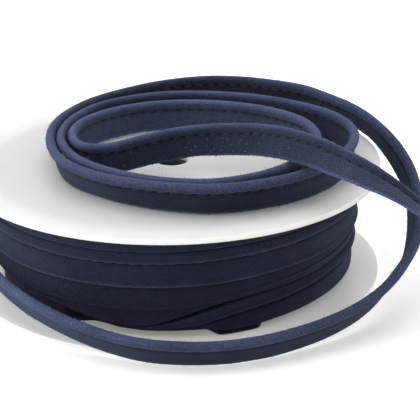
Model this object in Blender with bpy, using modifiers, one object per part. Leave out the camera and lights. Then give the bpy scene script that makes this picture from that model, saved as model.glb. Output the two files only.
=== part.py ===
# Roll of piping trim on a spool.
# Metres, +Z up. The origin is on the spool's axis, at the underside of the lower flange.

from math import cos, pi, radians, sin

import bpy
import numpy as np

MM = 0.001

# Spool
FLANGE_RADIUS = 0.066
FLANGE_THICKNESS = 0.0016
FLANGE_EDGE = 0.0005
SPOOL_HEIGHT = 0.0368
SPINDLE_RADIUS = 0.0053
HUB_RADIUS = 0.022
SPOOL_STEPS = 80
CLEARANCE = 0.0003

# Trim: a corded bead along one edge of a flat doubled tape
TRIM_WIDTH = 0.010
BEAD_RADIUS = 0.00165
TAPE_THICKNESS = 0.0012
# Points round the bead, in degrees from the tape's direction
BEAD_ARC = (158, 118, 78, 39, 0, -39, -78, -118, -158)

# Pack of wound turns
PACK_BOTTOM = FLANGE_THICKNESS + CLEARANCE
PACK_TOP = SPOOL_HEIGHT - FLANGE_THICKNESS - CLEARANCE
PACK_STEPS = 104

# Radii in mm of the faces that keep one size all the way round the pack
PACK_FACES = {
    "top_turn": 59.3,
    "gap": 57.0,
    "bead": 60.1,
    "stitch": 58.5,
    "tape": 58.8,
    "fold": 59.3,
    "second": 57.9,
    "lap": 58.2,
}
# How far in mm the stitching lies below the gap over its turn, and the crossing turn's face
# lies inside the turn above it
STITCH_DROP = 3.2
STRAND_INSET = 0.3

# The pack's wound bands, a row for each azimuth (degrees, 0 is +X).
# Heights in mm: top is the gap above the uppermost whole turn, fold and lap are the lower
# edges of the turns below it, cross is the upper edge of the turn that crosses the others
# on the slant, and hem is the lowest turn's lower edge. Depths and radii in mm: lap_step and
# cross_cut say how deep those edges are, low is the lowest turn's radius, and toe is the
# pack's radius at the lower flange.
BAND_COLUMNS = ("azimuth", "top", "fold", "lap", "cross", "hem",
                "lap_step", "cross_cut", "low", "toe")
BAND_ROWS = (
    (-180, 27.4, 17.4, 10.8, 9.0, 8.6, 0.9, 0.0, 55.4, 50.5),
    (-150, 28.2, 17.6, 10.9, 8.8, 8.4, 0.9, 0.0, 55.4, 50.5),
    (-120, 28.7, 18.2, 11.0, 7.8, 6.6, 0.9, 0.4, 55.8, 50.0),
    (-100, 29.1, 18.7, 11.3, 6.4, 3.6, 0.9, 0.5, 56.2, 51.5),
    (-90, 29.3, 18.9, 11.6, 7.2, 3.0, 0.7, 2.0, 56.6, 52.0),
    (-82, 29.6, 19.1, 12.4, 9.4, 2.9, 0.3, 3.4, 57.0, 52.5),
    (-76, 29.8, 19.3, 13.6, 11.3, 3.0, 0.1, 3.8, 57.2, 56.6),
    (-64, 29.8, 19.6, 15.0, 12.6, 3.0, 0.0, 2.8, 57.2, 56.2),
    (-55, 30.1, 20.0, 15.6, 12.9, 3.6, 0.0, 1.8, 57.0, 51.0),
    (-40, 30.6, 20.3, 16.6, 14.2, 4.2, 0.0, 1.3, 57.0, 50.5),
    (-16, 30.6, 20.4, 17.4, 15.1, 4.4, 0.0, 1.3, 57.0, 50.5),
    (20, 30.2, 20.4, 17.2, 14.6, 4.6, 0.0, 1.0, 56.8, 50.5),
    (60, 29.4, 19.6, 15.2, 12.2, 5.6, 0.3, 0.6, 56.4, 50.5),
    (100, 28.6, 18.8, 12.8, 10.4, 7.0, 0.7, 0.2, 56.0, 50.5),
    (140, 27.8, 17.8, 11.4, 9.4, 8.2, 0.9, 0.0, 55.6, 50.5),
    (180, 27.4, 17.4, 10.8, 9.0, 8.6, 0.9, 0.0, 55.4, 50.5),
)

# The pack's outer section, top to bottom. A point's height is an edge plus a rise, and its
# radius is a face less an inset, in mm. Share moves the height from the edge towards the hem,
# or from the hem towards the floor, by that part of the way.
SECTION_COLUMNS = ("edge", "rise", "share", "face", "inset")
SECTION_ROWS = (
    ("ceiling", 0.0, 0.0, "top_turn", 1.2),
    ("top", 3.2, 0.0, "top_turn", 0.0),
    ("top", 0.8, 0.0, "top_turn", 0.0),
    ("top", 0.2, 0.0, "gap", 0.0),
    ("top", -0.3, 0.0, "gap", 0.0),
    ("top", -0.7, 0.0, "bead", 0.5),
    ("top", -1.5, 0.0, "bead", 0.0),
    ("top", -2.4, 0.0, "bead", 0.4),
    ("stitch", 0.0, 0.0, "stitch", 0.0),
    ("stitch", -0.6, 0.0, "tape", 0.0),
    ("fold", 3.0, 0.0, "tape", 0.0),
    ("fold", 1.2, 0.0, "fold", 0.0),
    ("fold", 0.2, 0.0, "fold", 0.3),
    ("fold", -0.2, 0.0, "second", 0.0),
    ("between", 0.0, 0.0, "second", 0.0),
    ("lap", 1.0, 0.0, "lap", 0.0),
    ("lap", 0.2, 0.0, "lap", 0.2),
    ("lap", -0.2, 0.0, "under_lap", 0.0),
    ("cross", 0.7, 0.0, "strand", 0.0),
    ("cross", 0.1, 0.0, "cut", 0.0),
    ("cross", -0.3, 0.0, "cut", 0.0),
    ("cross", -0.3, 0.12, "low", -0.3),
    ("cross", -0.3, 0.30, "low", -0.6),
    ("cross", 0.0, 0.60, "low", 0.0),
    ("hem", 0.0, 0.0, "low", 0.4),
    ("hem", 0.0, 0.25, "toe", 0.0),
    ("floor", 0.0, 0.0, "toe", 0.0),
)

# The loose strand's route, from where it leaves the pack to its free end: the middle line of
# the trim in mm, and the lean of its width in degrees, positive where the bead leans to the
# right of the direction of travel. The bead is the upper edge.
ROUTE_COLUMNS = ("x", "y", "z", "lean")
ROUTE_ROWS = (
    # off the pack on the left, round the front on the table, and up on the right
    (-60.8, 14.0, 15.8, 0),
    (-62.4, -3.0, 14.6, 6),
    (-59.2, -21.5, 12.4, 15),
    (-51.2, -37.5, 10.2, 22),
    (-40.5, -51.0, 8.4, 26),
    (-28.0, -62.0, 6.8, 27),
    (-13.0, -70.5, 5.4, 27),
    (3.0, -74.2, 5.0, 27),
    (19.0, -73.0, 5.0, 27),
    (34.5, -67.0, 5.4, 27),
    (48.5, -58.5, 6.6, 28),
    (60.0, -48.5, 9.2, 31),
    (68.3, -37.0, 13.3, 33),
    (73.2, -27.4, 17.2, 31),
    (75.4, -18.0, 21.3, 25),
    (75.9, -9.7, 25.8, 15),
    (75.0, -2.8, 30.2, 6),
    (72.6, 3.6, 34.3, -2),
    (69.2, 9.9, 37.9, -9),
    (65.0, 16.8, 40.7, -17),
    (60.0, 24.0, 42.3, -21),
    # on the upper flange: round the back to the left end
    (53.9, 32.5, 42.4, -14),
    (44.8, 42.9, 42.3, 3),
    (33.5, 50.6, 42.0, 17),
    (22.0, 55.5, 41.9, 25),
    (10.0, 56.0, 41.9, 25),
    (-3.5, 51.5, 41.9, 25),
    (-15.5, 43.5, 41.9, 25),
    (-26.0, 33.4, 41.9, 24),
    (-33.6, 19.4, 42.0, 20),
    (-36.9, 5.0, 42.1, 17),
    # front of the outer turn
    (-36.1, -9.7, 42.1, 17),
    (-32.1, -22.6, 42.0, 19),
    (-23.3, -33.3, 41.9, 23),
    (-13.3, -40.6, 42.0, 20),
    (-1.6, -46.2, 42.1, 15),
    (12.1, -48.9, 42.2, 12),
    (26.0, -45.8, 42.2, 10),
    (39.2, -38.4, 42.2, 8),
    (49.4, -26.5, 42.2, 6),
    (55.8, -12.5, 42.2, 6),
    # back and front of the second turn
    (56.6, 2.5, 42.2, 6),
    (50.4, 16.5, 42.2, 7),
    (38.4, 27.6, 42.2, 8),
    (25.6, 34.6, 42.2, 9),
    (11.9, 38.3, 42.1, 10),
    (-1.4, 38.6, 42.1, 12),
    (-13.0, 35.0, 42.1, 16),
    (-23.0, 28.0, 42.1, 20),
    (-29.5, 18.0, 42.1, 22),
    (-32.7, 7.4, 42.1, 22),
    (-33.3, -2.9, 42.1, 22),
    (-31.2, -13.2, 42.1, 21),
    (-26.8, -22.7, 42.1, 20),
    (-19.2, -31.5, 42.1, 19),
    (-9.9, -38.3, 42.1, 17),
    (0.0, -42.7, 42.1, 14),
    (11.8, -44.5, 42.2, 11),
    (24.5, -40.3, 42.2, 8),
    (35.6, -31.1, 42.2, 5),
    (43.0, -18.5, 42.2, 4),
    # back of the third turn, and its tight turn at the left end
    (45.3, -5.0, 42.2, 4),
    (42.0, 8.5, 42.2, 4),
    (32.2, 19.6, 42.2, 5),
    (18.9, 26.5, 42.2, 6),
    (6.2, 28.9, 42.2, 8),
    (-5.8, 28.2, 42.1, 10),
    (-16.2, 23.8, 42.1, 12),
    (-24.7, 16.5, 42.1, 12),
    (-29.6, 7.4, 42.1, 12),
    (-30.4, -2.2, 42.1, 10),
    (-27.7, -10.6, 42.2, 5),
    # across the middle, over the turns on the right, and down to the table
    (-22.2, -14.0, 42.5, 0),
    (-16.0, -13.4, 43.0, -4),
    (-8.6, -10.8, 43.9, -9),
    (0.4, -8.8, 45.1, -14),
    (9.2, -9.6, 46.4, -18),
    (17.5, -13.0, 47.8, -22),
    (26.0, -20.2, 50.0, -27),
    (34.1, -29.6, 51.9, -38),
    (42.4, -38.9, 52.1, -54),
    (50.3, -47.2, 51.0, -64),
    (58.6, -53.0, 48.3, -77),
    (67.0, -55.4, 43.4, -83),
    (75.5, -55.4, 35.8, -85),
    (83.5, -54.0, 25.6, -86),
    (90.5, -51.8, 14.6, -86),
    (98.0, -48.8, 6.0, -86),
    (107.0, -45.0, 2.6, -86),
    (117.0, -40.0, 2.4, -86),
)
ROUTE_STEPS = 2

# Finishes
NAVY = (0.022, 0.030, 0.062, 1.0)
WHITE = (0.83, 0.83, 0.81, 1.0)
CLOTH_ROUGHNESS = 0.9
PLASTIC_ROUGHNESS = 0.35


def clear_scene():
    for obj in list(bpy.data.objects):
        bpy.data.objects.remove(obj, do_unlink=True)


def new_collection(name):
    collection = bpy.data.collections.new(name)
    bpy.context.scene.collection.children.link(collection)
    return collection


def new_material(name, color, roughness):
    material = bpy.data.materials.new(name)
    material.use_nodes = True
    shader = material.node_tree.nodes["Principled BSDF"]
    shader.inputs["Base Color"].default_value = color
    shader.inputs["Roughness"].default_value = roughness
    shader.inputs["Metallic"].default_value = 0.0
    return material


def add_object(name, data, collection, material=None):
    obj = bpy.data.objects.new(name, data)
    collection.objects.link(obj)
    if material:
        data.materials.append(material)
    return obj


def turned_piece(name, profile, collection, material):
    """A closed ring section, listed down its outer side first, turned about the axis."""
    mesh = bpy.data.meshes.new(name)
    points = [(radius, 0.0, height) for radius, height in profile]
    edges = [(i, (i + 1) % len(points)) for i in range(len(points))]
    mesh.from_pydata(points, edges, [])
    obj = add_object(name, mesh, collection, material)
    screw = obj.modifiers.new("turn", "SCREW")
    screw.axis = "Z"
    screw.angle = 2 * pi
    screw.steps = SPOOL_STEPS
    screw.render_steps = SPOOL_STEPS
    screw.use_merge_vertices = True
    screw.merge_threshold = 0.00001
    screw.use_smooth_shade = False
    return obj


def make_flange(name, bottom, collection, material):
    """A thin round plate with a softened rim and the spindle hole at its middle."""
    top = bottom + FLANGE_THICKNESS
    rim = FLANGE_RADIUS
    edge = FLANGE_EDGE
    profile = (
        (rim - edge, top),
        (rim, top - edge),
        (rim, bottom + edge),
        (rim - edge, bottom),
        (SPINDLE_RADIUS, bottom),
        (SPINDLE_RADIUS, top),
    )
    return turned_piece(name, profile, collection, material)


def make_hub(collection, material):
    """The barrel between the flanges that the trim is wound on."""
    profile = (
        (HUB_RADIUS, PACK_TOP),
        (HUB_RADIUS, PACK_BOTTOM),
        (SPINDLE_RADIUS, PACK_BOTTOM),
        (SPINDLE_RADIUS, PACK_TOP),
    )
    return turned_piece("hub", profile, collection, material)


def band_values(azimuth):
    """The band table's columns at one azimuth, as a dictionary."""
    rows = np.array(BAND_ROWS, dtype=float)
    return {
        name: float(np.interp(azimuth, rows[:, 0], rows[:, column]))
        for column, name in enumerate(BAND_COLUMNS)
    }


def pack_profile(azimuth):
    """The pack's outer surface at one azimuth, top to bottom: radius and height in mm."""
    band = band_values(azimuth)
    floor = PACK_BOTTOM / MM
    edges = {
        "ceiling": PACK_TOP / MM,
        "top": band["top"],
        "stitch": band["top"] - STITCH_DROP,
        "fold": band["fold"],
        "between": (band["fold"] + band["lap"]) / 2,
        "lap": band["lap"],
        "cross": band["cross"],
        "hem": band["hem"],
        "floor": floor,
    }
    faces = dict(PACK_FACES)
    faces["under_lap"] = faces["lap"] - band["lap_step"]
    faces["strand"] = faces["under_lap"] - STRAND_INSET
    faces["cut"] = faces["strand"] - band["cross_cut"]
    faces["low"] = band["low"]
    faces["toe"] = band["toe"]
    points = []
    for row in SECTION_ROWS:
        point = dict(zip(SECTION_COLUMNS, row))
        below = floor if point["edge"] in ("hem", "floor") else band["hem"]
        height = edges[point["edge"]]
        height += point["rise"] - point["share"] * (height - below)
        points.append((faces[point["face"]] - point["inset"], height))
    return points


def make_pack(collection, material):
    """All the turns on the spool as one ring, with the outermost turns' edges raised."""
    inner = (HUB_RADIUS + CLEARANCE) / MM
    points = []
    for step in range(PACK_STEPS):
        azimuth = -180 + 360 * step / PACK_STEPS
        section = pack_profile(azimuth) + [(inner, PACK_BOTTOM / MM), (inner, PACK_TOP / MM)]
        angle = radians(azimuth)
        for radius, height in section:
            points.append((radius * MM * cos(angle), radius * MM * sin(angle), height * MM))
    count = len(points) // PACK_STEPS
    faces = []
    for step in range(PACK_STEPS):
        this = step * count
        after = ((step + 1) % PACK_STEPS) * count
        for i in range(count):
            j = (i + 1) % count
            faces.append((this + i, this + j, after + j, after + i))
    mesh = bpy.data.meshes.new("pack")
    mesh.from_pydata(points, [], faces)
    return add_object("pack", mesh, collection, material)


def smooth_rows(rows, steps):
    """Points of one smooth curve through the rows, with the same columns."""
    known = np.array(rows, dtype=float)
    before = 2 * known[0] - known[1]
    after = 2 * known[-1] - known[-2]
    guide = np.vstack([before, known, after])
    points = []
    for i in range(1, len(guide) - 2):
        a, b, c, d = guide[i - 1:i + 3]
        for k in range(steps):
            t = k / steps
            points.append(0.5 * (2 * b + (c - a) * t + (2 * a - 5 * b + 4 * c - d) * t * t
                                 + (3 * b - a - 3 * c + d) * t ** 3))
    points.append(known[-1])
    return np.array(points)


def trim_section(guides):
    """The trim's section: a flat tape with the bead along its upper edge."""
    half = TAPE_THICKNESS / 2
    centre = TRIM_WIDTH / 2 - BEAD_RADIUS
    outline = [(half, -TRIM_WIDTH / 2), (-half, -TRIM_WIDTH / 2)]
    for angle in BEAD_ARC:
        turn = radians(angle)
        outline.append((-BEAD_RADIUS * sin(turn), centre + BEAD_RADIUS * cos(turn)))
    curve = bpy.data.curves.new("trim_section", "CURVE")
    curve.dimensions = "2D"
    curve.fill_mode = "NONE"
    spline = curve.splines.new("POLY")
    spline.points.add(len(outline) - 1)
    for point, (x, y) in zip(spline.points, outline):
        point.co = (x, y, 0.0, 1.0)
    spline.use_cyclic_u = True
    guide = add_object("trim_section", curve, guides)
    guide.hide_render = True
    guide.display_type = "WIRE"
    return guide


def make_strand(collection, guides, material):
    """The loose length of trim, one strip from the pack to its free end."""
    curve = bpy.data.curves.new("loose_strand", "CURVE")
    curve.dimensions = "3D"
    curve.twist_mode = "Z_UP"
    curve.bevel_mode = "OBJECT"
    curve.bevel_object = trim_section(guides)
    curve.use_fill_caps = True
    rows = smooth_rows(ROUTE_ROWS, ROUTE_STEPS)
    spline = curve.splines.new("POLY")
    spline.points.add(len(rows) - 1)
    for point, row in zip(spline.points, rows):
        place = dict(zip(ROUTE_COLUMNS, row))
        point.co = (place["x"] * MM, place["y"] * MM, place["z"] * MM, 1.0)
        point.tilt = radians(place["lean"])
    return add_object("loose_strand", curve, collection, material)


def main():
    clear_scene()
    parts = new_collection("roll_of_piping_trim")
    guides = new_collection("guides")
    cloth = new_material("navy_cotton", NAVY, CLOTH_ROUGHNESS)
    plastic = new_material("white_plastic", WHITE, PLASTIC_ROUGHNESS)
    make_flange("lower_flange", 0.0, parts, plastic)
    make_flange("upper_flange", SPOOL_HEIGHT - FLANGE_THICKNESS, parts, plastic)
    make_hub(parts, plastic)
    make_pack(parts, cloth)
    make_strand(parts, guides, cloth)


main()
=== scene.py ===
# Roll of piping trim on a spool: the finish of every surface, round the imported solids.
# Metres, +Z up. Values in millimetres say so beside them.
from math import cos, hypot, pi, radians, sin

import bmesh
import bpy
import numpy as np
from mathutils import Matrix, Vector, noise


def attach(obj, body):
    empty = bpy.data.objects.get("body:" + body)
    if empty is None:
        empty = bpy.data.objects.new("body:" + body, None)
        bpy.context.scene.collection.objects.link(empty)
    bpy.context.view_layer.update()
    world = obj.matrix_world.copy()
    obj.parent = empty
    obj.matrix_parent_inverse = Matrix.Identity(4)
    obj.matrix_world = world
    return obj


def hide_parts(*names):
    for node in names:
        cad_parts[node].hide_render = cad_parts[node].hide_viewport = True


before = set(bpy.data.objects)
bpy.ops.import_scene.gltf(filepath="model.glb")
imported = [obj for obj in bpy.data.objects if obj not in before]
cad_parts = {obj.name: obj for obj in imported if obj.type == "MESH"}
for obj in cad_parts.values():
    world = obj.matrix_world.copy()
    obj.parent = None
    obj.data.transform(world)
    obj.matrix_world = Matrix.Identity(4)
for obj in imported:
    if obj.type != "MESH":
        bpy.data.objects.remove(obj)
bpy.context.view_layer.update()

mm = 0.001
print("frame loaded:", ", ".join(sorted(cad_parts)))


# Camera

cameraSet = {
    "lens": 144.1,          # mm, on a 36 mm sensor
    "distance": 0.5478,     # from the foot of the spool's axis
    "elevation": 23.56,     # degrees, as the next three
    "yaw": -1.265,
    "pitch": 1.881,
    "roll": 1.213,
}


def addCamera():
    c = cameraSet
    lift = radians(c["elevation"])
    place = Vector((0, -cos(lift), sin(lift))) * c["distance"]
    forward = -place.normalized()
    right = Vector((1, 0, 0))
    up = right.cross(forward)
    turn = Matrix.Rotation(radians(c["yaw"]), 3, up)
    forward, right = turn @ forward, turn @ right
    turn = Matrix.Rotation(radians(c["pitch"]), 3, right)
    forward, up = turn @ forward, turn @ up
    turn = Matrix.Rotation(radians(c["roll"]), 3, forward)
    right, up = turn @ right, turn @ up
    bpy.ops.object.camera_add(location=place)
    camera = bpy.context.object
    camera.name = "photoCamera"
    axes = Matrix((right, up, -forward)).transposed()
    camera.matrix_world = Matrix.Translation(place) @ axes.to_4x4()
    camera.data.lens = c["lens"]
    camera.data.sensor_width = 36
    camera.data.clip_end = 10
    bpy.context.scene.camera = camera


addCamera()
print("camera placed")


# Materials

clothLook = {
    "deep": (0.0100, 0.0130, 0.0255, 1),    # colour between the threads
    "face": (0.030, 0.041, 0.084, 1),       # colour of the threads
    "threadHighlight": (0.066, 0.086, 0.158, 1),       # painted highlight where a thread stands up and catches light
    "fleck": (0.17, 0.21, 0.31, 1),         # the finest fibre ends
    "thread": 0.66,                         # pitch of the weave, mm
    "weaveShare": 0.36,                     # how much of the pattern is weave, the rest is mottling
    "bias": 45,                             # degrees that the weave is turned: cut on the bias
    "wobble": 1.6,                          # how far the threads stray from straight
    # how strongly the painted thread highlight shows
    "threadHighlightShare": 0.6,
    "mottle": 2100,                         # fine mottling of the fibre, features to the metre
    "mottleRange": (0.34, 0.66),            # part of the noise that runs from deep to face
    "flecks": 3400,                         # fibre ends, features to the metre
    "fleckRange": (0.58, 0.78),             # part of the noise where they show
    "fleckShare": 0.42,
    "patches": 75,                          # broad uneven places, features to the metre
    "patchTones": (0.84, 1.16),
    "bump": 0.9,
    "bumpDepth": 0.00022,
    "sheen": 0.22,
    "sheenRoughness": 0.4,
    "sheenTint": (0.50, 0.62, 1.0, 1),
    "roughness": 0.95,
}
# Painted shade: the wound turns sit in shade under the upper flange, so they get a copy of the cloth that is
# darker and greyer than the loose end's.
shadedWoundLook = dict(clothLook, deep=(0.0048, 0.0056, 0.0106, 1), face=(0.0138, 0.0170, 0.0350, 1),
                 threadHighlight=(0.030, 0.040, 0.082, 1), fleck=(0.055, 0.068, 0.11, 1))


def newMaterial(name):
    material = bpy.data.materials.new(name)
    material.use_nodes = True
    tree = material.node_tree
    return material, tree, tree.nodes["Principled BSDF"]


def addNode(tree, kind, **values):
    node = tree.nodes.new("ShaderNode" + kind)
    for key, value in values.items():
        if key in node.inputs:
            node.inputs[key].default_value = value
        else:
            setattr(node, key, value)
    return node


def mathNode(tree, operation, first, second):
    node = addNode(tree, "Math", operation=operation)
    for socket, value in zip(node.inputs, (first, second)):
        if isinstance(value, (int, float)):
            socket.default_value = value
        else:
            tree.links.new(value, socket)
    return node.outputs[0]


def mixColor(tree, factor, first, second, blend="MIX"):
    node = addNode(tree, "Mix", data_type="RGBA", blend_type=blend)
    sockets = (node.inputs[0], node.inputs[6], node.inputs[7])
    for socket, value in zip(sockets, (factor, first, second)):
        if isinstance(value, (int, float, tuple)):
            socket.default_value = value
        else:
            tree.links.new(value, socket)
    return node.outputs[2]


def noiseNode(tree, where, **values):
    node = addNode(tree, "TexNoise", **values)
    tree.links.new(where.outputs["Object"], node.inputs["Vector"])
    return node.outputs["Fac"]


# A value moved from one range to another.
def rangeNode(tree, value, fromRange, toRange=(0.0, 1.0)):
    node = addNode(tree, "MapRange")
    node.inputs["From Min"].default_value = fromRange[0]
    node.inputs["From Max"].default_value = fromRange[1]
    node.inputs["To Min"].default_value = toRange[0]
    node.inputs["To Max"].default_value = toRange[1]
    tree.links.new(value, node.inputs["Value"])
    return node.outputs[0]


# A colour made darker or lighter by a value.
def shadeColor(tree, color, value):
    grey = addNode(tree, "CombineColor")
    for socket in grey.inputs[:3]:
        tree.links.new(value, socket)
    return mixColor(tree, 1.0, color, grey.outputs[0], "MULTIPLY")


def addBump(tree, shader, height, strength, depth):
    bump = addNode(tree, "Bump", Strength=strength, Distance=depth)
    tree.links.new(height, bump.inputs["Height"])
    tree.links.new(bump.outputs[0], shader.inputs["Normal"])


# Plain cotton cut on the bias: crossed threads, mottling, a soft bloom of loose fibre, all multiplied by the
# painted light and shade that each piece carries.
def makeCloth(name, look):
    material, tree, shader = newMaterial(name)
    link = tree.links.new
    uv = addNode(tree, "UVMap", uv_map="weave")
    place = addNode(tree, "Mapping")
    link(uv.outputs[0], place.inputs["Vector"])
    place.inputs["Rotation"].default_value[2] = radians(look["bias"])
    threads = []
    for direction in "XY":
        wave = addNode(tree, "TexWave", bands_direction=direction, Distortion=look["wobble"],
                       Detail=2.0)
        wave.inputs["Scale"].default_value = 2 * pi / (20 * look["thread"] * mm)
        wave.inputs["Detail Scale"].default_value = 1.2
        link(place.outputs[0], wave.inputs["Vector"])
        threads.append(wave.outputs["Fac"])
    weave = mathNode(tree, "MULTIPLY", mathNode(tree, "ADD", threads[0], threads[1]), 0.5)
    where = addNode(tree, "TexCoord")
    fine = noiseNode(tree, where, Scale=look["mottle"], Detail=3.0, Roughness=0.7)
    spread = rangeNode(tree, fine, look["mottleRange"])
    mixed = mathNode(tree, "ADD", mathNode(tree, "MULTIPLY", weave, look["weaveShare"]),
                     mathNode(tree, "MULTIPLY", spread, 1 - look["weaveShare"]))
    color = mixColor(tree, mixed, look["deep"], look["face"])
    # painted highlight on the high places of the weave and mottling
    raised = mathNode(tree, "MULTIPLY", mathNode(tree, "POWER", mixed, 3.0), look["threadHighlightShare"])
    color = mixColor(tree, raised, color, look["threadHighlight"])
    ends = noiseNode(tree, where, Scale=look["flecks"], Detail=2.0, Roughness=0.8)
    bright = rangeNode(tree, ends, look["fleckRange"], (0.0, look["fleckShare"]))
    color = mixColor(tree, bright, color, look["fleck"])
    broad = noiseNode(tree, where, Scale=look["patches"], Detail=3.0)
    patch = rangeNode(tree, broad, (0.3, 0.7), look["patchTones"])
    # painted light and shade from each piece, times broad random patches
    paintedShade = addNode(tree, "Attribute", attribute_name="paintedShade")
    strength = mathNode(tree, "MULTIPLY", paintedShade.outputs["Fac"], patch)
    link(shadeColor(tree, color, strength), shader.inputs["Base Color"])
    addBump(tree, shader, mathNode(tree, "ADD", weave, fine), look["bump"], look["bumpDepth"])
    shader.inputs["Roughness"].default_value = look["roughness"]
    shader.inputs["Specular IOR Level"].default_value = 0.2
    shader.inputs["Sheen Weight"].default_value = look["sheen"]
    shader.inputs["Sheen Roughness"].default_value = look["sheenRoughness"]
    shader.inputs["Sheen Tint"].default_value = look["sheenTint"]
    return material


plasticLook = {
    "face": (0.90, 0.915, 0.895, 1),
    "rim": (0.90, 0.89, 0.83, 1),       # slightly cream where the moulded edge turns over
    "rimRange": (0.0652, 0.066),        # radii where the cream starts and is full
    "roughness": 0.36,
    "ripple": 55,                       # features to the metre
    "rippleTones": (0.975, 1.015),
    "rippleBump": 0.12,
    "rippleDepth": 0.0003,
    "glow": 0.6,                        # share of the light that passes through the skin
    "glowDepth": 0.010,
}


# White moulded plastic: a soft gloss, faint flow ripples, and a creamy edge.
def makePlastic():
    look = plasticLook
    material, tree, shader = newMaterial("whitePlastic")
    where = addNode(tree, "TexCoord")
    parts = addNode(tree, "SeparateXYZ")
    tree.links.new(where.outputs["Object"], parts.inputs[0])
    squares = []
    for axis in parts.outputs[:2]:
        squares.append(mathNode(tree, "POWER", mathNode(tree, "ABSOLUTE", axis, 0), 2))
    radius = mathNode(tree, "SQRT", mathNode(tree, "ADD", squares[0], squares[1]), 0)
    edge = rangeNode(tree, radius, look["rimRange"])
    color = mixColor(tree, edge, look["face"], look["rim"])
    cloud = noiseNode(tree, where, Scale=look["ripple"], Detail=2.0)
    shade = rangeNode(tree, cloud, (0.0, 1.0), look["rippleTones"])
    tree.links.new(shadeColor(tree, color, shade), shader.inputs["Base Color"])
    addBump(tree, shader, cloud, look["rippleBump"], look["rippleDepth"])
    shader.inputs["Roughness"].default_value = look["roughness"]
    shader.inputs["Specular IOR Level"].default_value = 0.4
    shader.inputs["Subsurface Weight"].default_value = look["glow"]
    shader.inputs["Subsurface Radius"].default_value = (1.0, 1.0, 0.9)
    shader.inputs["Subsurface Scale"].default_value = look["glowDepth"]
    return material


boreShadeLook = {
    "dark": (0.045, 0.045, 0.050, 1),
    "light": (0.075, 0.072, 0.070, 1),
    "grain": 350,           # features to the metre
}


# Painted shade: the barrel's inside, seen through the spindle hole, is given a dark colour with a soft grain
# in place of the shade deep in the hole.
def makeBoreShade():
    material, tree, shader = newMaterial("paintedBoreShade")
    where = addNode(tree, "TexCoord")
    grain = noiseNode(tree, where, Scale=boreShadeLook["grain"], Detail=3.0)
    color = mixColor(tree, grain, boreShadeLook["dark"], boreShadeLook["light"])
    tree.links.new(color, shader.inputs["Base Color"])
    addBump(tree, shader, grain, 0.4, 0.0002)
    shader.inputs["Roughness"].default_value = 0.8
    return material


# Thread or loose fibre: two close colours mixed along it.
def makeFibre(name, dark, light, scale):
    material, tree, shader = newMaterial(name)
    where = addNode(tree, "TexCoord")
    speck = noiseNode(tree, where, Scale=scale, Detail=1.0)
    tree.links.new(mixColor(tree, speck, dark, light), shader.inputs["Base Color"])
    shader.inputs["Roughness"].default_value = 0.85
    shader.inputs["Specular IOR Level"].default_value = 0.2
    shader.inputs["Sheen Weight"].default_value = 0.2
    return material


cotton = makeCloth("navyCotton", clothLook)
shadedWoundCotton = makeCloth("shadedWoundNavyCotton", shadedWoundLook)
plastic = makePlastic()
paintedBoreShade = makeBoreShade()
sewing = makeFibre("sewingThread", (0.006, 0.007, 0.013, 1), (0.036, 0.040, 0.062, 1), 700)
fluff = makeFibre("looseFibre", (0.040, 0.052, 0.100, 1), (0.15, 0.18, 0.28, 1), 300)
lint = makeFibre("paleLint", (0.13, 0.15, 0.19, 1), (0.48, 0.49, 0.50, 1), 500)
print("materials made")


# Helpers for meshes

def newPiece(name, points, faces, material):
    mesh = bpy.data.meshes.new(name)
    mesh.from_pydata(points, [], faces)
    piece = bpy.data.objects.new(name, mesh)
    bpy.context.scene.collection.objects.link(piece)
    mesh.materials.append(material)
    mesh.shade_smooth()
    return piece


def turnOutwards(mesh):
    work = bmesh.new()
    work.from_mesh(mesh)
    bmesh.ops.recalc_face_normals(work, faces=work.faces)
    work.to_mesh(mesh)
    work.free()


def onRoot(piece, slot, *nodes):
    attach(piece, "root")
    if nodes:
        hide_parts(*nodes)


# Painted light and shade at each point, which the cloth multiplies into its colour.
def setPaintedShade(piece, values):
    paintedShade = piece.data.attributes.new("paintedShade", "FLOAT", "POINT")
    paintedShade.data.foreach_set("value", np.asarray(values, np.float32).ravel())


# The weave's UV map, from each face corner's place along and across the cloth, in metres.
def setWeave(piece, corners):
    layer = piece.data.uv_layers.new(name="weave")
    layer.data.foreach_set("uv", np.asarray(corners, np.float32).ravel())


# Trim: a bead over a doubled tape, lofted along a route

trim = {
    "width": 10.0,          # mm, over bead and tape
    "bead": 1.48,           # radius
    "tape": 0.55,           # half of the tape's thickness
    "groove": 0.26,         # half of it at the stitching
    "stitchAt": 1.72,       # from the middle of the width towards the bead
    "grooveWidth": 0.40,
    "tapePoints": 8,
    "beadPoints": 9,
    "spacing": 0.62,        # between rings along the trim
    "fineSteps": 24,        # points between two rows of a route, before the even spacing
    "stitchPitch": 3.9,
    "stitchLength": 3.1,
    "slant": (0.17, 0.03),  # how far a stitch leans across, and how much that varies
    "threadRadius": 0.23,
    "pucker": 0.18,         # how much a stitch hole draws the cloth in
    "puckerReach": 0.9,     # and how far across the trim
    "holeWidth": 0.11,      # of the pitch
    "beadWander": 0.02,     # of the bead's radius
    "tapeWander": 0.05,
    "rough": 0.012,
    "ragged": (0.05, 0.04), # how far the tape's edge strays, finely and broadly
    "holeShade": 0.70,       # painted shade: how much darker a stitch hole is
    "beadHighlight": 2.25,       # painted highlight: how light the cloth is along the bead's top
    "cheekShade": 0.85,      # painted shade on the bead's cheeks
    "tapeShade": 0.60,       # painted shade on the tape
    "edgeTone": 1.5,        # how light the cloth is on the tape's raw edge
    # painted shade in the stitch groove
    "grooveShade": 0.50,
}


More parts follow.
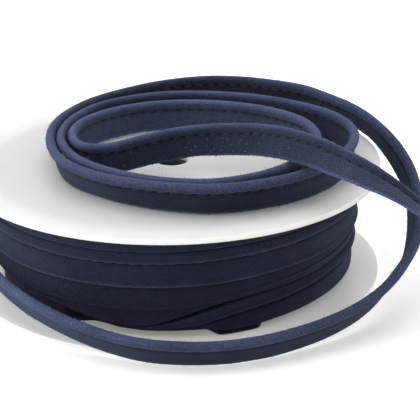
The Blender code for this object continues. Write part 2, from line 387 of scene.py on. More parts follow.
# Places across the width and how thick the trim is there, from the tape's edge to the bead.
def trimPlaces():
    half = trim["width"] / 2
    middle = half - trim["bead"]
    places = list(np.linspace(-half + 0.12, trim["stitchAt"] - 0.75, trim["tapePoints"]))
    places += [trim["stitchAt"] - 0.32, trim["stitchAt"], trim["stitchAt"] + 0.30]
    thick = []
    for s in places:
        near = np.exp(-((s - trim["stitchAt"]) / trim["grooveWidth"]) ** 2)
        thick.append(trim["tape"] - (trim["tape"] - trim["groove"]) * near)
    thick[0] = trim["tape"] * 0.72
    for angle in np.linspace(150, 0, trim["beadPoints"]):
        places.append(middle + trim["bead"] * cos(radians(angle)))
        thick.append(trim["bead"] * sin(radians(angle)))
    return np.array(places), np.array(thick)


# A curve through every row, with steps points from each row to the next.
def smoothRows(rows, steps):
    known = np.array(rows, float)
    guide = np.vstack([2 * known[0] - known[1], known, 2 * known[-1] - known[-2]])
    points = []
    for i in range(1, len(guide) - 2):
        a, b, c, d = guide[i - 1:i + 3]
        for k in range(steps):
            t = k / steps
            points.append(0.5 * (2 * b + (c - a) * t + (2 * a - 5 * b + 4 * c - d) * t * t
                                 + (3 * b - a - 3 * c + d) * t ** 3))
    points.append(known[-1])
    return np.array(points)


# The route at even spacing along it: x, y, z, lean and which row it is near. Also how far along
# each point is, in mm.
def evenRows(rows):
    fine = smoothRows([tuple(row) + (i,) for i, row in enumerate(rows)], trim["fineSteps"])
    run = np.concatenate([[0], np.cumsum(np.linalg.norm(np.diff(fine[:, :3], axis=0), axis=1))])
    count = int(round(run[-1] / trim["spacing"])) + 1
    along = np.linspace(0, run[-1], count)
    return np.stack([np.interp(along, run, fine[:, c]) for c in range(5)], axis=1), along


# Middle line, and the directions along the trim, up its width and out of its face.
def routeFrame(even):
    middle = even[:, :3]
    along = np.gradient(middle, axis=0)
    along /= np.linalg.norm(along, axis=1)[:, None]
    side = np.cross(along, (0, 0, 1))
    side /= np.linalg.norm(side, axis=1)[:, None]
    above = np.cross(side, along)
    lean = np.radians(even[:, 3])[:, None]
    width = np.cos(lean) * above + np.sin(lean) * side
    face = np.cross(along, width)
    return middle, along, width, face


# Smooth noise along a run, about 1 in size, whose waves are reach points long.
def softNoise(rng, count, reach):
    raw = rng.standard_normal(count + 6 * reach)
    window = np.hanning(2 * reach + 1)
    wave = np.convolve(raw, window / window.sum(), "same")[3 * reach:3 * reach + count]
    return wave / max(wave.std(), 1e-9)


# Painted light and shade of the cloth at each point: tape, bead, groove, stitch holes and the tape's edge,
# each times the row's painted shade.
def trimPaintedShade(across, shade, hole, onEdge):
    beyond = across - trim["stitchAt"]
    onCheek = np.clip((beyond - 0.2) / 0.5, 0, 1)
    crown = np.clip((across - trim["width"] / 2 + 1.5 * trim["bead"]) / (1.4 * trim["bead"]), 0, 1)
    beadHighlight = trim["cheekShade"] + (trim["beadHighlight"] - trim["cheekShade"]) * crown ** 1.5
    paintedShade = (trim["tapeShade"] * shade)[:, None] * (1 - onCheek)[None, :]
    paintedShade += (shade ** 0.35)[:, None] * (beadHighlight * onCheek)[None, :]
    paintedShade *= 1 - trim["grooveShade"] * np.exp(-(beyond / 0.34) ** 2)[None, :]
    paintedShade *= 1 - trim["holeShade"] * hole[:, None] * np.exp(-(beyond / 0.48) ** 2)[None, :]
    return np.where(onEdge[None, :], trim["edgeTone"] * shade[:, None], paintedShade)


# A closed strip of trim along the route, its painted light and shade set by rows. Returns the piece, its
# stitch lines and its middle line.
def loftTrim(name, rows, seed, paintedRowShades):
    rng = np.random.default_rng(seed)
    even, run = evenRows(rows)
    middle, along, width, face = routeFrame(even)
    count = len(run)
    places, thick = trimPlaces()
    across = np.concatenate([places, places[-2::-1]])
    out = np.concatenate([thick, -thick[-2::-1]])
    sides = len(across)
    step = np.hypot(np.diff(across), np.diff(out))
    girth = np.concatenate([[0], np.cumsum(step)])
    gap = np.hypot(across[0] - across[-1], out[0] - out[-1])

    phase = run / trim["stitchPitch"] % 1.0
    hole = np.exp(-(np.minimum(phase, 1 - phase) / trim["holeWidth"]) ** 2)
    nearStitch = np.exp(-((across - trim["stitchAt"]) / trim["puckerReach"]) ** 2)
    onBead = across > trim["stitchAt"] + 0.5
    fatness = 1 + trim["beadWander"] * softNoise(rng, count, 9)[:, None] * onBead[None, :]
    puff = 1 - trim["pucker"] * hole[:, None] * nearStitch[None, :] * np.where(onBead, 0.5, 1.6)
    thickness = out[None, :] * fatness * puff
    wave = trim["tapeWander"] * softNoise(rng, count, 14)
    sway = wave[:, None] * (1 - nearStitch)[None, :] * ~onBead[None, :]
    rough = rng.normal(0, trim["rough"], (count, sides))
    onEdge = np.abs(across + trim["width"] / 2) < 0.2
    finely, broadly = trim["ragged"]
    ragged = finely * softNoise(rng, count, 1) + broadly * softNoise(rng, count, 9)
    spread = across[None, :] + rough + onEdge[None, :] * ragged[:, None]
    shift = thickness + sway + rough
    points = (middle[:, None, :] + spread[..., None] * width[:, None, :]
              + shift[..., None] * face[:, None, :]).reshape(-1, 3) * mm

    faces = []
    corners = []
    for i in range(count - 1):
        for j in range(sides):
            k = (j + 1) % sides
            faces.append((i * sides + j, i * sides + k, (i + 1) * sides + k, (i + 1) * sides + j))
            g0 = girth[j]
            g1 = girth[j + 1] if j + 1 < sides else girth[j] + gap
            corners.append((run[i], g0, run[i], g1, run[i + 1], g1, run[i + 1], g0))
    faces.append(list(range(sides))[::-1])
    faces.append(list(range((count - 1) * sides, count * sides)))
    piece = newPiece(name, points.tolist(), faces, cotton)
    flat = np.array(corners).reshape(-1, 2) * mm
    ends = np.tile(np.stack([girth, girth], axis=1) * mm, (2, 1))
    setWeave(piece, np.concatenate([flat, ends]))
    # painted light and shade at each point, from the rows' listed values
    shadeRows = np.array(paintedRowShades)
    shade = np.interp(even[:, 4], shadeRows[:, 0], shadeRows[:, 1])
    setPaintedShade(piece, trimPaintedShade(across, shade, hole, onEdge))
    lines = []
    for sign in (1, -1):
        lift = trim["stitchAt"] * width + sign * (trim["groove"] + 0.06) * face
        lines.append((run, middle + lift, along, width, sign * face))
    return piece, lines, middle * mm


# Short threads along each line, each dipping into the cloth at both its ends.
def sewStitches(name, lines, seed):
    rng = np.random.default_rng(seed)
    stations = np.array([-0.5, -0.36, 0.0, 0.36, 0.5])
    fat = np.array([0.45, 0.95, 1.0, 0.95, 0.45])
    lift = np.array([-0.26, -0.03, 0.04, -0.03, -0.26])
    ring = np.arange(6) * pi / 3
    points, faces = [], []
    for run, place, along, up, out in lines:
        first = trim["stitchPitch"] / 2
        for at in np.arange(first, run[-1] - first, trim["stitchPitch"]):
            slant = rng.normal(*trim["slant"])
            base = len(points)
            for x, thickness, rise in zip(stations, fat, lift):
                u = at + x * trim["stitchLength"]
                read = [np.array([np.interp(u, run, array[:, c]) for c in range(3)])
                        for array in (place, up, out)]
                centre = read[0] + read[2] * rise + read[1] * slant * x * 2
                for angle in ring:
                    reach = trim["threadRadius"] * thickness
                    offset = cos(angle) * read[1] + sin(angle) * read[2]
                    points.append((centre + reach * offset) * mm)
            for s in range(len(stations) - 1):
                for j in range(6):
                    k = (j + 1) % 6
                    a = base + s * 6
                    faces.append((a + j, a + k, a + 6 + k, a + 6 + j))
            last = base + (len(stations) - 1) * 6
            faces.append(tuple(base + j for j in range(5, -1, -1)))
            faces.append(tuple(last + j for j in range(6)))
    piece = newPiece(name, points, faces, sewing)
    turnOutwards(piece.data)
    return piece


# Loose strand: the same route as the solid, its rows x, y, z in mm and the lean in degrees

strand = {
    "exit": (-0.0608, 0.014, 0.0158),
    "seed": 4,
    "stitchSeed": 11,
    # painted light and shade: how light the tape is at some rows of the route, for how the light falls on each
    # part of it
    "paintedRowShades": ((0, 1.5), (4, 1.3), (7, 0.38), (13, 0.55), (20, 0.55), (28, 0.5), (33, 0.62),
               (36, 0.6), (44, 1.0), (60, 1.0), (64, 2.3), (68, 2.1), (72, 1.0), (78, 1.1),
               (82, 1.9), (90, 2.1)),
    "fuzz": 8600,           # loose fibres standing off it
    "fuzzSeed": 23,
    "fuzzOnBead": 0.62,     # share of them on the bead, the rest is on the tape's edge
    "fuzzLength": (0.30, 1.10),
    "fuzzRadius": 0.042,
    "lint": 110,            # pale specks, most of them where the strand leaves its tight turn
    "lintSeed": 29,
    "lintRows": (73.0, 80.0),
    "lintLength": (0.12, 0.55),
    "lintRadius": 0.075,
}
strandRoute = (
    # off the pack on the left, round the front on the table, and up on the right
    (-60.8, 14.0, 15.8, 0),
    (-62.4, -3.0, 14.6, 6),
    (-59.2, -21.5, 12.4, 15),
    (-51.2, -37.5, 10.2, 22),
    (-40.5, -51.0, 8.4, 26),
    (-28.0, -62.0, 6.8, 27),
    (-13.0, -70.5, 5.4, 27),
    (3.0, -74.2, 5.0, 27),
    (19.0, -73.0, 5.0, 27),
    (34.5, -67.0, 5.4, 27),
    (48.5, -58.5, 6.6, 28),
    (60.0, -48.5, 9.2, 31),
    (68.3, -37.0, 13.3, 33),
    (73.2, -27.4, 17.2, 31),
    (75.4, -18.0, 21.3, 25),
    (75.9, -9.7, 25.8, 15),
    (75.0, -2.8, 30.2, 6),
    (72.6, 3.6, 34.3, -2),
    (69.2, 9.9, 37.9, -9),
    (65.0, 16.8, 40.7, -17),
    (60.0, 24.0, 42.3, -21),
    # on the upper flange: round the back to the left end
    (53.9, 32.5, 42.4, -14),
    (44.8, 42.9, 42.3, 3),
    (33.5, 50.6, 42.0, 17),
    (22.0, 55.5, 41.9, 25),
    (10.0, 56.0, 41.9, 25),
    (-3.5, 51.5, 41.9, 25),
    (-15.5, 43.5, 41.9, 25),
    (-26.0, 33.4, 41.9, 24),
    (-33.6, 19.4, 42.0, 20),
    (-36.9, 5.0, 42.1, 17),
    # front of the outer turn
    (-36.1, -9.7, 42.1, 17),
    (-32.1, -22.6, 42.0, 19),
    (-23.3, -33.3, 41.9, 23),
    (-13.3, -40.6, 42.0, 20),
    (-1.6, -46.2, 42.1, 15),
    (12.1, -48.9, 42.2, 12),
    (26.0, -45.8, 42.2, 10),
    (39.2, -38.4, 42.2, 8),
    (49.4, -26.5, 42.2, 6),
    (55.8, -12.5, 42.2, 6),
    # back and front of the second turn
    (56.6, 2.5, 42.2, 6),
    (50.4, 16.5, 42.2, 7),
    (38.4, 27.6, 42.2, 8),
    (25.6, 34.6, 42.2, 9),
    (11.9, 38.3, 42.1, 10),
    (-1.4, 38.6, 42.1, 12),
    (-13.0, 35.0, 42.1, 16),
    (-23.0, 28.0, 42.1, 20),
    (-29.5, 18.0, 42.1, 22),
    (-32.7, 7.4, 42.1, 22),
    (-33.3, -2.9, 42.1, 22),
    (-31.2, -13.2, 42.1, 21),
    (-26.8, -22.7, 42.1, 20),
    (-19.2, -31.5, 42.1, 19),
    (-9.9, -38.3, 42.1, 17),
    (0.0, -42.7, 42.1, 14),
    (11.8, -44.5, 42.2, 11),
    (24.5, -40.3, 42.2, 8),
    (35.6, -31.1, 42.2, 5),
    (43.0, -18.5, 42.2, 4),
    # back of the third turn, and its tight turn at the left end
    (45.3, -5.0, 42.2, 4),
    (42.0, 8.5, 42.2, 4),
    (32.2, 19.6, 42.2, 5),
    (18.9, 26.5, 42.2, 6),
    (6.2, 28.9, 42.2, 8),
    (-5.8, 28.2, 42.1, 10),
    (-16.2, 23.8, 42.1, 12),
    (-24.7, 16.5, 42.1, 12),
    (-29.6, 7.4, 42.1, 12),
    (-30.4, -2.2, 42.1, 10),
    (-27.7, -10.6, 42.2, 5),
    # across the middle, over the turns on the right, and down to the table
    (-22.2, -14.0, 42.5, 0),
    (-16.0, -13.4, 43.0, -4),
    (-8.6, -10.8, 43.9, -9),
    (0.4, -8.8, 45.1, -14),
    (9.2, -9.6, 46.4, -18),
    (17.5, -13.0, 47.8, -22),
    (26.0, -20.2, 50.0, -27),
    (34.1, -29.6, 51.9, -38),
    (42.4, -38.9, 52.1, -54),
    (50.3, -47.2, 51.0, -64),
    (58.6, -53.0, 48.3, -77),
    (67.0, -55.4, 43.4, -83),
    (75.5, -55.4, 35.8, -85),
    (83.5, -54.0, 25.6, -86),
    (90.5, -51.8, 14.6, -86),
    (98.0, -48.8, 6.0, -86),
    (107.0, -45.0, 2.6, -86),
    (117.0, -40.0, 2.4, -86),
)


# One bent hair with three sides. The stations give places along it and how thick it is there.
def addHair(points, faces, root, way, bend, sides, radius, stations):
    base = len(points)
    for t, thin in stations:
        centre = root + way * t + bend * t * t
        for turn in (0, 2 * pi / 3, 4 * pi / 3):
            offset = cos(turn) * sides[0] + sin(turn) * sides[1]
            points.append((centre + radius * thin * offset) * mm)
    for s in range(len(stations) - 1):
        for j in range(3):
            k = (j + 1) % 3
            a = base + 3 * s
            faces.append((a + j, a + k, a + 3 + k, a + 3 + j))
    last = base + 3 * (len(stations) - 1)
    faces.append((base + 2, base + 1, base))
    faces.append((last, last + 1, last + 2))


# Fine bent hairs on the bead and on the tape's cut edge.
def fibresOn(name, route, seed):
    middle, along, width, face = route
    rng = np.random.default_rng(seed)
    points, faces = [], []
    half = trim["width"] / 2
    for _ in range(strand["fuzz"]):
        i = int(rng.integers(0, len(middle)))
        if rng.random() < strand["fuzzOnBead"]:
            angle = rng.uniform(-1.9, 1.9)
            out = cos(angle) * width[i] + sin(angle) * face[i]
            root = middle[i] + (half - trim["bead"]) * width[i] + trim["bead"] * 0.97 * out
        else:
            out = -width[i] + rng.normal(0, 0.5) * face[i]
            root = middle[i] - (half - 0.15) * width[i] + rng.uniform(-0.4, 0.4) * face[i]
        way = out + rng.normal(0, 0.75, 3)
        way /= np.linalg.norm(way)
        curl = rng.normal(0, 0.55, 3)
        length = rng.uniform(*strand["fuzzLength"]) * rng.uniform(0.5, 1.0)
        aside = np.cross(way, along[i] + 0.3 * curl)
        aside /= np.linalg.norm(aside)
        sides = (aside, np.cross(way, aside))
        addHair(points, faces, root, way * length, curl * length * 0.5, sides,
                strand["fuzzRadius"], ((0.0, 1.0), (0.4, 0.9), (0.75, 0.7), (1.0, 0.3)))
    piece = newPiece(name, points, faces, fluff)
    turnOutwards(piece.data)
    return piece


# Pale specks and short threads of lint that cling to the strand's two faces.
def lintOn(name, route, rowNear, seed):
    middle, along, width, face = route
    rng = np.random.default_rng(seed)
    first, last = strand["lintRows"]
    crossing = np.where((rowNear > first) & (rowNear < last))[0]
    points, faces = [], []
    for _ in range(strand["lint"]):
        near = rng.random() < 0.7
        i = int(rng.choice(crossing)) if near else int(rng.integers(0, len(middle)))
        sign = rng.choice((-1, 1))
        across = rng.uniform(-trim["width"] / 2 + 0.4, trim["stitchAt"] - 0.5)
        root = middle[i] + across * width[i] + sign * (trim["tape"] + 0.02) * face[i]
        heading = rng.uniform(0, 2 * pi)
        way = cos(heading) * width[i] + sin(heading) * along[i] + sign * 0.2 * face[i]
        bend = rng.normal(0, 0.3) * width[i] + rng.normal(0, 0.3) * along[i]
        length = rng.uniform(*strand["lintLength"]) * (3.0 if rng.random() < 0.06 else 1.0)
        aside = np.cross(way, face[i])
        aside /= np.linalg.norm(aside)
        radius = strand["lintRadius"] * min(1, 0.35 / length)
        addHair(points, faces, root, way * length, bend * length, (aside, face[i]), radius,
                ((0.0, 0.4), (0.35, 1.0), (0.7, 0.9), (1.0, 0.3)))
    piece = newPiece(name, points, faces, lint)
    turnOutwards(piece.data)
    return piece


evenStrand, strandRun = evenRows(strandRoute)
strandFrame = routeFrame(evenStrand)
strandPiece, strandLines, strandPath = loftTrim("loose_trim", strandRoute, strand["seed"],
                                                strand["paintedRowShades"])
strandStitches = sewStitches("loose_trim_stitches", strandLines, strand["stitchSeed"])
strandFuzz = fibresOn("loose_trim_fuzz", strandFrame, strand["fuzzSeed"])
strandLint = lintOn("loose_trim_lint", strandFrame, evenStrand[:, 4], strand["lintSeed"])
onRoot(strandPiece, "cloth", "loose_strand")
onRoot(strandStitches, "cloth")
onRoot(strandFuzz, "cloth")
onRoot(strandLint, "cloth")


# Pack: the wound turns, with every edge that shows from outside

pack = {
    "columns": 480,
    "inner": 22.3,          # mm, as all below
    "ceiling": 34.9,
    "floor": 1.9,
    "beadRadius": 1.5,
    "beadCentre": 58.5,     # radius of the first whole turn's bead
    "tapeFace": 58.72,
    "gapFloor": 53.6,
    "secondFace": 57.85,
    "stitchDrop": 3.30,     # from the top of a turn down to its stitches
    "stitchRadius": 58.34,
    "stitchSeed": 12,
    "lumps": 0.09,          # how uneven the turns are outwards
    "sway": 0.16,           # and up and down
}
# Heights and radii in mm at each azimuth in degrees, a finer table than the solid's: the gap over
# the first whole turn, the lower edges of two turns, the crossing turn's upper edge, the lowest edge, how deep
# three of these are, the lowest turn's radius and the radius at the lower flange.
bandColumns = ("azimuth", "top", "fold", "lap", "cross", "hem", "lapStep", "gapWidth", "stitchCut",
               "low", "toe")
bandRows = (
    (-180, 27.4, 17.4, 10.8, 9.0, 8.6, 0.9, 0.20, 0.2, 55.4, 54.6),
    (-150, 28.2, 17.6, 10.9, 8.8, 8.4, 0.9, 0.20, 0.2, 55.4, 55.2),
    (-127, 28.6, 18.0, 11.0, 8.0, 7.2, 0.9, 0.22, 0.2, 55.7, 54.8),
    (-119, 28.7, 18.2, 11.0, 7.2, 6.3, 0.9, 0.20, 0.2, 55.8, 50.0),
    (-107, 29.0, 18.5, 11.2, 5.2, 4.4, 0.9, 0.20, 0.2, 56.0, 50.8),
    (-99, 29.2, 18.7, 11.4, 4.5, 4.0, 0.8, 0.55, 0.4, 56.3, 51.5),
    (-90, 29.3, 18.9, 11.6, 6.4, 4.0, 0.7, 1.60, 1.4, 56.4, 52.0),
    (-79, 29.6, 19.1, 12.8, 9.4, 4.0, 0.3, 2.30, 2.2, 56.6, 52.5),
    (-77.6, 29.7, 19.2, 13.1, 9.8, 3.1, 0.2, 2.30, 2.0, 56.7, 57.5),
    (-74, 29.8, 19.3, 13.8, 10.9, 3.0, 0.1, 1.80, 1.8, 56.8, 57.4),
    (-64, 29.8, 19.6, 15.0, 12.2, 3.0, 0.0, 1.45, 0.9, 57.0, 57.2),
    (-59, 30.0, 19.9, 15.4, 12.5, 3.4, 0.0, 1.10, 0.6, 57.0, 51.0),
    (-40, 30.6, 20.3, 16.6, 14.1, 4.2, 0.0, 0.50, 0.3, 57.0, 50.5),
    (-16, 30.6, 20.4, 17.4, 15.1, 4.4, 0.0, 0.35, 0.3, 57.0, 50.5),
    (20, 30.2, 20.4, 17.2, 14.6, 4.6, 0.0, 0.35, 0.3, 56.8, 50.5),
    (60, 29.4, 19.6, 15.2, 12.2, 5.6, 0.3, 0.35, 0.3, 56.4, 50.5),
    (100, 28.6, 18.8, 12.8, 10.4, 7.0, 0.7, 0.30, 0.2, 56.0, 50.5),
    (140, 27.8, 17.8, 11.4, 9.4, 8.2, 0.9, 0.20, 0.2, 55.6, 50.5),
    (180, 27.4, 17.4, 10.8, 9.0, 8.6, 0.9, 0.20, 0.2, 55.4, 50.5),
)
bandBlur = 4.0          # degrees over which the table's corners are rounded
toeBlur = 0.9           # the flap on the lower flange ends more sharply


# Each of the table's columns as a smooth curve round the pack.
def bandCurves(azimuths):
    table = np.array(bandRows, float)
    curves = {}
    step = 360 / len(azimuths)
    for column, name in enumerate(bandColumns[1:], 1):
        values = np.interp(azimuths, table[:, 0], table[:, column])
        blur = toeBlur if name in ("toe", "hem") else bandBlur
        reach = int(round(3 * blur / step))
        kernel = np.exp(-0.5 * (np.arange(-reach, reach + 1) * step / blur) ** 2)
        wrapped = np.concatenate([values[-reach:], values, values[:reach]])
        curves[name] = np.convolve(wrapped, kernel / kernel.sum(), "valid")
    return curves


# Rows round a bead, from its top to where it meets the tape, with a painted highlight on its upper part.
def beadRows(rows, centreRadius, centreHeight, radius, paintedShadeHere, count):
    for angle in np.linspace(98, -58, count):
        turn = radians(angle)
        shade = paintedShadeHere * (1.5 if angle > 20 else 1.0)
        rows.append((centreRadius + radius * cos(turn), centreHeight + radius * sin(turn), shade))


# Rows of the pack's surface, top to bottom: radius, height and painted light and shade.
def packRows(band):
    p = pack
    top, fold, lap, cross, hem = (band[n] for n in ("top", "fold", "lap", "cross", "hem"))
    # the turn under the upper flange, in painted shade, and the gap below it, darkened with painted shade
    rows = [(p["inner"], p["ceiling"], 0.5), (57.4, p["ceiling"], 0.5),
            (58.5, p["ceiling"] - 0.35, 0.8)]
    for share in (0.25, 0.55, 0.8):
        rows.append((59.05, p["ceiling"] - share * (p["ceiling"] - top), 1.0))
    rows += [(58.95, top + 0.85, 1.0), (58.7, top + 0.55, 1.1), (58.1, top + 0.40, 0.7),
             (p["gapFloor"], top + 0.32, 0.1), (p["gapFloor"], top + 0.02, 0.1)]
    # the first whole turn: bead with a painted highlight on top, stitch groove in painted shade, tape, and
    # folded edge with a painted highlight over painted shade
    beadRows(rows, p["beadCentre"], top - 0.10 - p["beadRadius"], p["beadRadius"], 1.0, 11)
    stitch = top - p["stitchDrop"]
    rows += [(58.42, stitch + 0.16, 0.55), (58.30, stitch, 0.40), (58.45, stitch - 0.2, 0.6)]
    for share in (0.06, 0.22, 0.42, 0.62, 0.8):
        swell = 0.14 * sin(pi * share)
        rows.append((p["tapeFace"] + swell, stitch - 0.3 - share * (stitch - 0.3 - fold), 1.0))
    rows += [(59.0, fold + 0.85, 1.3), (59.2, fold + 0.45, 2.3), (59.25, fold + 0.22, 2.9),
             (59.05, fold + 0.05, 1.9), (58.3, fold - 0.05, 0.3),
             (p["secondFace"] - 0.05, fold - 0.14, 0.2), (p["secondFace"], fold - 0.6, 0.75)]
    # the second turn's tape and its lap over the next, with a painted highlight above the lap's step and
    # painted shade below it
    for share in (0.2, 0.4, 0.6, 0.8):
        swell = 0.12 * sin(pi * share)
        rows.append((p["secondFace"] + swell, fold - 0.6 - share * (fold - 0.6 - lap), 1.0))
    step = band["lapStep"]
    rows += [(58.05, lap + 0.7, 1.0), (58.15, lap + 0.35, 1.0 + 0.3 * step),
             (58.08, lap + 0.12, 1.0 + 0.3 * step), (58.08 - 0.8 * step, lap - 0.02, 1.0 - 0.5 * step),
             (58.02 - step, lap - 0.2, 1.0 - 0.25 * step)]
    # the gap above the crossing turn, darkened inside with painted shade
    brow = cross + band["gapWidth"]
    shelf = 58.0 - step
    for share in (0.3, 0.6, 0.85):
        rows.append((shelf, lap - 0.2 - share * (lap - 0.2 - brow - 0.3), 1.0))
    deep = np.clip((band["gapWidth"] - 0.18) / 0.3, 0, 1)
    cut = shelf - 0.4 - deep * 3.6
    rows += [(shelf - 0.05, brow + 0.28, 1.0), (shelf - 0.35, brow + 0.04, 0.6),
             (cut, brow - 0.04, 0.12), (cut, cross + 0.02, 0.12)]
    # the crossing turn: bead with a painted highlight on top, stitch groove in painted shade, tape and hem
    low, toe = band["low"], band["toe"]
    size = np.minimum(1.5, 0.34 * (cross - hem))
    beadRows(rows, low + 0.1, cross - size, size, 1.05, 9)
    under = cross - 2 * size
    left = under - hem
    groove = low + 0.15 - band["stitchCut"]
    rows += [(low + 0.25, under - 0.02 * left, 0.6), (groove, under - 0.05 * left, 0.35),
             (groove, under - 0.09 * left, 0.35), (low + 0.30, under - 0.14 * left, 0.8)]
    for share in (0.25, 0.45, 0.65, 0.85):
        rows.append((low + 0.42, under - share * left, 1.0))
    rows += [(low + 0.35, hem + 0.04 * left, 1.15), (low - 0.1, hem + 0.004, 1.0)]
    # in to the lower flange, and along it to the barrel, in painted shade
    drop = hem - p["floor"]
    rows += [((low + 3 * toe) / 4, hem - 0.08, 0.4), (toe, hem - 0.25 * drop, 0.35),
             (toe, p["floor"] + 0.35 * drop, 0.35), (toe, p["floor"], 0.3),
             (p["inner"], p["floor"], 0.3)]
    return rows


def selectNothing():
    if bpy.context.object and bpy.context.object.mode != "OBJECT":
        bpy.ops.object.mode_set(mode="OBJECT")
    bpy.ops.object.select_all(action="DESELECT")


# A cylinder cut into rows one unit apart, with its two open ends bridged to each other.
def rowedCylinder(name, columns, count):
    selectNothing()
    bpy.ops.mesh.primitive_cylinder_add(vertices=columns, radius=1, depth=count - 1,
                                        end_fill_type="NOTHING", location=(0, 0, (count - 1) / 2))
    piece = bpy.context.object
    piece.name = name
    piece.data.name = name
    bpy.ops.object.transform_apply(location=True, rotation=True, scale=True)
    bpy.ops.object.mode_set(mode="EDIT")
    bpy.ops.mesh.select_all(action="DESELECT")
    work = bmesh.from_edit_mesh(piece.data)
    for edge in work.edges:
        edge.select = abs(edge.verts[0].co.z - edge.verts[1].co.z) > 1
    bmesh.update_edit_mesh(piece.data)
    bpy.ops.mesh.subdivide(number_cuts=count - 2)
    bpy.ops.mesh.select_all(action="DESELECT")
    work = bmesh.from_edit_mesh(piece.data)
    for edge in work.edges:
        edge.select = edge.is_boundary
    bmesh.update_edit_mesh(piece.data)
    bpy.ops.mesh.bridge_edge_loops()
    bpy.ops.object.mode_set(mode="OBJECT")
    return piece


# The pack's weave, unrolled: round it, and down its section.
def unrollPack(mesh, grid, rowAt, columnAt):
    total = pack["columns"]
    down = np.cumsum(np.hypot(np.diff(grid[:, :, 0], axis=0, prepend=grid[:1, :, 0]),
                              np.diff(grid[:, :, 1], axis=0, prepend=grid[:1, :, 1])), axis=0)
    loops = np.zeros(len(mesh.loops), int)
    mesh.loops.foreach_get("vertex_index", loops)
    quads = columnAt[loops].astype(float).reshape(-1, 4)
    # a face across the seam takes its far corners from the next time round
    quads[(quads.max(axis=1) - quads.min(axis=1) > 2)[:, None] & (quads < 2)] += total
    lengthways = quads.ravel() * 2 * pi / total * pack["tapeFace"]
    across = down[rowAt[loops], columnAt[loops]]
    corners = np.stack([lengthways, across], axis=1) * mm
    layer = mesh.uv_layers[0]
    layer.name = "weave"
    layer.data.foreach_set("uv", corners.astype(np.float32).ravel())


# The wound turns: each row of a cylinder moved to its own place, a little uneven.
def makePack():
    p = pack
    azimuths = -180 + 360 * np.arange(p["columns"]) / p["columns"]
    band = bandCurves(azimuths)
    rows = packRows(band)
    count = len(rows)
    piece = rowedCylinder("wound_trim", p["columns"], count)
    mesh = piece.data
    cage = np.zeros(len(mesh.vertices) * 3)
    mesh.vertices.foreach_get("co", cage)
    cage = cage.reshape(-1, 3)
    rowAt = (count - 1) - np.rint(cage[:, 2]).astype(int)
    degree = np.degrees(np.arctan2(cage[:, 1], cage[:, 0]))
    columnAt = np.rint((degree + 180) / 360 * p["columns"]).astype(int) % p["columns"]
    grid = np.zeros((count, p["columns"], 3))
    for i, row in enumerate(rows):
        for k in range(3):
            grid[i, :, k] = row[k]
    # each point's radius, height and painted light and shade
    radius, height, paintedShade = (grid[rowAt, columnAt, k] for k in range(3))
    turn = np.radians(azimuths[columnAt])
    place = np.stack([radius * np.cos(turn), radius * np.sin(turn), height], axis=1)
    lump = [noise.noise(Vector(q) * 0.11) + 0.35 * noise.noise(Vector(q) * 0.5) for q in place]
    outside = (rowAt > 1) & (rowAt < count - 2)
    radius = radius + p["lumps"] * np.array(lump) * outside
    sway = [noise.noise(Vector((q[0] * 0.05, q[1] * 0.05, 9.0))) for q in place]
    height = height + p["sway"] * np.array(sway) * (rowAt > 5) * (rowAt < count - 5)
    place = np.stack([radius * np.cos(turn), radius * np.sin(turn), height], axis=1) * mm
    mesh.vertices.foreach_set("co", place.ravel())
    setPaintedShade(piece, paintedShade)
    unrollPack(mesh, grid, rowAt, columnAt)
    mesh.update()
    turnOutwards(mesh)
    # the darker copy of the cloth, painted shade for the whole pack
    mesh.materials.clear()
    mesh.materials.append(shadedWoundCotton)
    mesh.shade_smooth()
    return piece, azimuths, band


packPiece, packAzimuths, packBand = makePack()
onRoot(packPiece, "cloth", "pack")
print("pack made,", len(packPiece.data.polygons), "faces")


# A stitch line round the pack, as sewStitches reads it.
def ringLine(azimuths, radius, height):
    turn = np.radians(azimuths)
    place = np.stack([radius * np.cos(turn), radius * np.sin(turn), height], axis=1)
    out = np.stack([np.cos(turn), np.sin(turn), 0 * turn], axis=1)
    run = np.concatenate([[0], np.cumsum(np.linalg.norm(np.diff(place, axis=0), axis=1))])
    up = np.tile((0.0, 0.0, 1.0), (len(turn), 1))
    return run, place, np.gradient(place, axis=0), up, out


# The crossing turn has stitches only past its start, from this azimuth in degrees.
crossing = packAzimuths > -72
packLines = [
    ringLine(packAzimuths, pack["stitchRadius"] + 0 * packAzimuths,
             packBand["top"] - pack["stitchDrop"]),
    ringLine(packAzimuths[crossing], packBand["low"][crossing] + 0.12,
             packBand["cross"][crossing] - pack["stitchDrop"]),
]
packStitches = sewStitches("wound_trim_stitches", packLines, pack["stitchSeed"])
onRoot(packStitches, "cloth")


# Last wound turn: it lifts off the pack at the back and runs into the loose trim

leadTurn = {
    "from": 96.0,           # degrees round the pack
    "to": 167.0,
    "rows": 14,
    "inside": 56.6,         # mm, radius where it starts between the wound turns
    "outside": 62.4,        # and where it meets the loose trim
    "height": 16.6,         # of its middle, falling to the loose trim's
    "fall": 0.8,
    "seed": 31,
    # painted shade: the tape starts dark where it leaves the pack and gets lighter towards the loose trim
    "paintedRowShades": ((0, 0.10), (4, 0.25), (8, 0.8), (13, 1.5)),
}


def leadRows():
    rows = []
    for azimuth in np.linspace(leadTurn["from"], leadTurn["to"], leadTurn["rows"]):
        share = (azimuth - leadTurn["from"]) / (leadTurn["to"] - leadTurn["from"])
        lifted = share * share * (3 - 2 * share)
        radius = leadTurn["inside"] + lifted * (leadTurn["outside"] - leadTurn["inside"])
        turn = radians(azimuth)
        height = leadTurn["height"] - leadTurn["fall"] * share
        rows.append((radius * cos(turn), radius * sin(turn), height, 0.0))
    rows[-1] = strandRoute[0]
    return rows


leadPiece = loftTrim("last_turn", leadRows(), leadTurn["seed"], leadTurn["paintedRowShades"])[0]
onRoot(leadPiece, "cloth")
print("last turn made")


# Spool

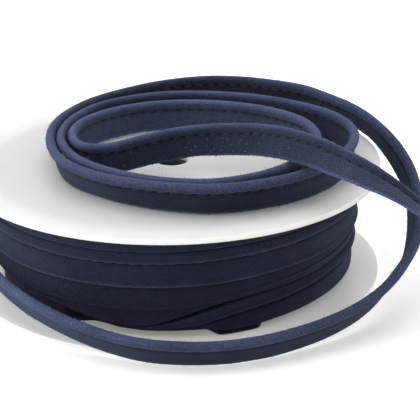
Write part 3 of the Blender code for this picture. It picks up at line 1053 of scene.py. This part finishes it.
spool = {
    "radius": 0.066,
    "thickness": 0.0016,
    "height": 0.0368,
    "hole": 0.0053,
    "columns": 192,
    "edge": 0.00078,        # how much the rim is rounded
    "rimBand": 0.004,       # widths of the first and last rings of faces
    "collar": 0.0011,
}


# A disc with its hole opened through inset faces and a soft rim.
def makeFlange(name, bottom, node):
    s = spool
    selectNothing()
    bpy.ops.mesh.primitive_cylinder_add(vertices=s["columns"], radius=s["radius"],
                                        depth=s["thickness"],
                                        location=(0, 0, bottom + s["thickness"] / 2))
    piece = bpy.context.object
    piece.name = name
    piece.data.name = name
    bpy.ops.object.transform_apply(location=True, rotation=True, scale=True)
    bpy.ops.object.mode_set(mode="EDIT")
    bpy.ops.mesh.select_all(action="DESELECT")
    work = bmesh.from_edit_mesh(piece.data)
    for face in work.faces:
        face.select = abs(face.normal.z) > 0.5
    bmesh.update_edit_mesh(piece.data)
    between = s["radius"] - s["hole"] - s["rimBand"] - s["collar"]
    for width in (s["rimBand"], between, s["collar"]):
        bpy.ops.mesh.inset(thickness=width)
    bpy.ops.mesh.bridge_edge_loops()
    bpy.ops.mesh.select_all(action="DESELECT")
    work = bmesh.from_edit_mesh(piece.data)
    for edge in work.edges:
        ends = [hypot(v.co.x, v.co.y) for v in edge.verts]
        level = abs(edge.verts[0].co.z - edge.verts[1].co.z) < 1e-6
        outer = min(ends) > s["radius"] - 0.00005
        inner = max(ends) < s["hole"] + 0.00005
        edge.select = level and (outer or inner)
    bmesh.update_edit_mesh(piece.data)
    bpy.ops.mesh.bevel(offset=s["edge"], segments=4, affect="EDGES")
    bpy.ops.mesh.select_all(action="SELECT")
    bpy.ops.mesh.normals_make_consistent(inside=False)
    bpy.ops.object.mode_set(mode="OBJECT")
    bpy.ops.object.shade_smooth_by_angle(angle=radians(35))
    piece.data.materials.clear()
    piece.data.materials.append(plastic)
    onRoot(piece, "plastic", node)


makeFlange("spool_lower_side", 0.0, "lower_flange")
makeFlange("spool_upper_side", spool["height"] - spool["thickness"], "upper_flange")
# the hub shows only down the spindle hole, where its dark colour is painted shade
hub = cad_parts["hub"]
hub.data.materials.clear()
hub.data.materials.append(paintedBoreShade)
print("spool made")


# Floor and light

studio = {
    "floor": (0.97, 0.97, 0.97, 1),
    "floorDark": (0.93, 0.93, 0.93, 1),
    "floorSize": 8,
    "floorGlow": 0.34,          # the paper is lit from behind a little, so its shadows stay faint
    "world": 0.50,
    # place, size, power in watts, colour
    "top": ((-0.10, 0.30, 1.00), 1.3, 5.9, (1.0, 1.0, 1.0)),
    "left": ((-0.95, -0.15, 0.48), 0.9, 6.5, (0.97, 0.99, 1.0)),
    "right": ((0.95, 0.10, 0.35), 0.7, 2.6, (1.0, 0.90, 0.72)),
    "front": ((-0.20, -0.90, 0.60), 0.8, 1.8, (1.0, 1.0, 1.0)),
}


def addLight(name):
    place, size, power, color = studio[name]
    selectNothing()
    bpy.ops.object.light_add(type="AREA", location=place)
    light = bpy.context.object
    light.name = name + "Light"
    light.data.size = size
    light.data.energy = power
    light.data.color = color
    light.rotation_euler = (-Vector(place)).to_track_quat("-Z", "Y").to_euler()


def makeStudio():
    selectNothing()
    bpy.ops.mesh.primitive_plane_add(size=studio["floorSize"], location=(0, 0, -0.0002))
    floor = bpy.context.object
    floor.name = "paleFloor"
    material, tree, shader = newMaterial("palePaper")
    where = addNode(tree, "TexCoord")
    grain = noiseNode(tree, where, Scale=40.0)
    color = mixColor(tree, grain, studio["floor"], studio["floorDark"])
    tree.links.new(color, shader.inputs["Base Color"])
    shader.inputs["Roughness"].default_value = 0.9
    shader.inputs["Emission Color"].default_value = (1, 1, 1, 1)
    shader.inputs["Emission Strength"].default_value = studio["floorGlow"]
    floor.data.materials.append(material)
    for name in ("top", "left", "right", "front"):
        addLight(name)
    world = bpy.data.worlds.new("softWhite")
    bpy.context.scene.world = world
    world.use_nodes = True
    background = world.node_tree.nodes["Background"]
    background.inputs["Color"].default_value = (1, 1, 1, 1)
    background.inputs["Strength"].default_value = studio["world"]
    bpy.context.scene.view_settings.view_transform = "Standard"


makeStudio()
print("studio made")
